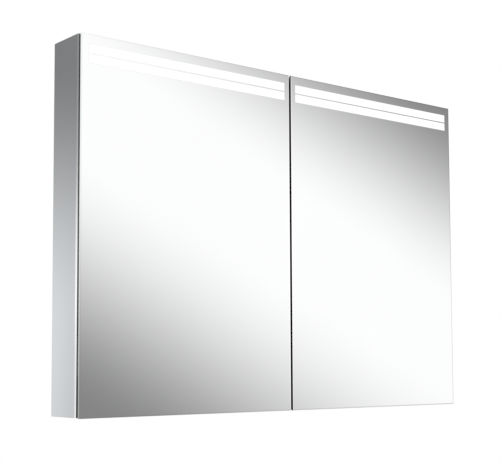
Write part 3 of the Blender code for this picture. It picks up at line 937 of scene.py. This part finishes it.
HOUSING_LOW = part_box("light_housing")[0][2]
HOOK_X, HOOK_Y = 0.4440, -0.0190
THREAD_START = 0.2955
THREAD_PITCH = 0.0019
THREAD_TURNS = 14
for side, word in SIDES:
    span = sorted((side * 0.060, side * 0.430))
    lens = block("bay_lens_" + word, (span[0], -0.062, HOUSING_LOW - 0.0016),
                 (span[1], -0.048, HOUSING_LOW - 0.0001))
    round_edges(lens, 0.0012, 3)
    hand_over(lens, "cabinet", bay_lens)
    x, y = side * HOOK_X, HOOK_Y
    screw = rod("hook_screw_" + word, (x, y, 0.3080), 0.0022, 0.0280, "Z", 20)
    rings = []
    for step in range(THREAD_TURNS):
        turn = rod("thread", (x, y, THREAD_START + step * THREAD_PITCH), 0.0027, 0.0008, "Z", 20)
        round_edges(turn, 0.00035, 1)
        rings.append(turn)
    screw = join_pieces([screw] + rings, "hook_screw_" + word)
    hand_over(screw, "cabinet", zinc)
print("fittings ready")

# %% [markdown]
# ## World light
# A studio for mirrors is mostly soft light on white cards. The sky of this scene is drawn
# with nodes: a bright haze at the horizon that darkens above it and brightens again
# overhead, and one wide slanting band of light in the direction that the doors mirror. The
# camera itself sees plain white.

# %% World
# The haze is three soft steps over the elevation in degrees: it brightens up to the horizon,
# falls off above it and brightens again overhead. Each step has a reach and what it adds.
GROUND_TONE = 0.70
HORIZON_RISE = ((-12.0, 3.0), 0.18)
HORIZON_FALL = ((2.0, 15.5), -0.60)
OVERHEAD_RISE = ((24.0, 78.0), 0.67)
# The band is a bright card between two dim ones. Each border is one soft step, and its reach
# is given as tangents from the doors' mirror axis. The two borders aren't quite parallel.
CARD_BRIGHT = 1.0
CARD_DIM = 0.24
UPPER_SLANT = 0.70
UPPER_REACH = (0.10, 0.29)
LOWER_SLANT = 0.64
LOWER_REACH = (-0.22, 0.02)


def dot(tree, vector, fixed):
    node = add_node(tree, "ShaderNodeVectorMath", {0: vector, 1: tuple(fixed)},
                    operation="DOT_PRODUCT")
    return node.outputs["Value"]


def flip(vector):
    return Vector((vector.x, -vector.y, vector.z))


world = bpy.data.worlds.new("studio_world")
bpy.context.scene.world = world
world.use_nodes = True
sky = world.node_tree
sky.nodes.clear()
look = add_node(sky, "ShaderNodeTexCoord").outputs["Generated"]
height = dot(sky, look, (0.0, 0.0, 1.0))
elevation = calc(sky, "MULTIPLY", calc(sky, "ARCSINE", height), 180.0 / math.pi)
haze = GROUND_TONE
for reach, change in (HORIZON_RISE, HORIZON_FALL, OVERHEAD_RISE):
    haze = calc(sky, "ADD", remap(sky, elevation, reach, (0.0, change), smooth=True), haze)
ahead = dot(sky, look, flip(FORWARD))
borders = []
for slant, reach, tones in ((UPPER_SLANT, UPPER_REACH, (CARD_BRIGHT, CARD_DIM)),
                            (LOWER_SLANT, LOWER_REACH, (CARD_DIM, CARD_BRIGHT))):
    across = dot(sky, look, flip(UP) + slant * flip(RIGHT))
    slope = calc(sky, "DIVIDE", across, calc(sky, "MAXIMUM", ahead, 0.3))
    borders.append(remap(sky, slope, reach, tones, smooth=True))
band = calc(sky, "MULTIPLY", borders[0], borders[1])
near = remap(sky, ahead, (0.62, 0.90), (0.0, 1.0), smooth=True)
blend = add_node(sky, "ShaderNodeMix", data_type="RGBA")
sky.links.new(near, blend.inputs[0])
sky.links.new(haze, blend.inputs[6])
sky.links.new(band, blend.inputs[7])
seen = add_node(sky, "ShaderNodeLightPath").outputs["Is Camera Ray"]
plain = add_node(sky, "ShaderNodeMix", data_type="RGBA")
sky.links.new(seen, plain.inputs[0])
sky.links.new(blend.outputs[2], plain.inputs[6])
plain.inputs[7].default_value = (1.0, 1.0, 1.0, 1.0)
background = add_node(sky, "ShaderNodeBackground", {"Color": plain.outputs[2],
                                                    "Strength": 1.0})
add_node(sky, "ShaderNodeOutputWorld", {"Surface": background.outputs[0]})
print("world nodes", len(sky.nodes))

# %% [markdown]
# ## Floor and lamps
# The floor is a pale plane well below the cabinet that fades out before its edge. Two big
# soft lamps help the haze on painted and plastic pieces. They don't show in reflections.

# %% Floor and lamps
FLOOR_Z = -1.40
FLOOR_HALF = 6.0
FADE = (2.2, 5.2)

floor = block("studio_floor", (-FLOOR_HALF, -FLOOR_HALF, FLOOR_Z - 0.02),
              (FLOOR_HALF, FLOOR_HALF, FLOOR_Z))
floor_mat, tree, shader = start_finish("studio_floor_paper", Roughness=0.7)
tint(tree, shader, spots(tree, 3.0), (0.86, 0.86, 0.86), (0.90, 0.90, 0.90))
place = add_node(tree, "ShaderNodeTexCoord").outputs["Object"]
flat = add_node(tree, "ShaderNodeVectorMath", {0: place, 1: (1.0, 1.0, 0.0)},
                operation="MULTIPLY").outputs[0]
distance = add_node(tree, "ShaderNodeVectorMath", {0: flat}, operation="LENGTH")
fade = remap(tree, distance.outputs["Value"], FADE, (0.0, 1.0), smooth=True)
clear = add_node(tree, "ShaderNodeBsdfTransparent")
both = add_node(tree, "ShaderNodeMixShader", {0: fade, 1: shader.outputs[0],
                                              2: clear.outputs[0]})
tree.links.new(both.outputs[0], tree.nodes["Material Output"].inputs["Surface"])
floor.data.materials.append(floor_mat)


def soft_lamp(name, place, target, size, power):
    bpy.ops.object.select_all(action="DESELECT")
    bpy.ops.object.light_add(type="AREA", location=place)
    lamp = bpy.context.object
    lamp.name = name
    lamp.data.shape = "SQUARE"
    lamp.data.size = size
    lamp.data.energy = power
    aim = Vector(target) - Vector(place)
    lamp.rotation_euler = aim.to_track_quat("-Z", "Y").to_euler()
    lamp.visible_glossy = False
    lamp.visible_camera = False
    return lamp


soft_lamp("lamp_over", (0.3, -0.6, 2.6), (0.0, 0.0, 0.0), 2.4, 60.0)
soft_lamp("lamp_front", (-1.6, -2.8, 1.2), (0.0, 0.0, 0.0), 1.8, 35.0)
soft_lamp("lamp_back", (1.4, 2.8, 1.4), (0.0, 0.0, 0.0), 1.8, 30.0)
print("floor and lamps ready")
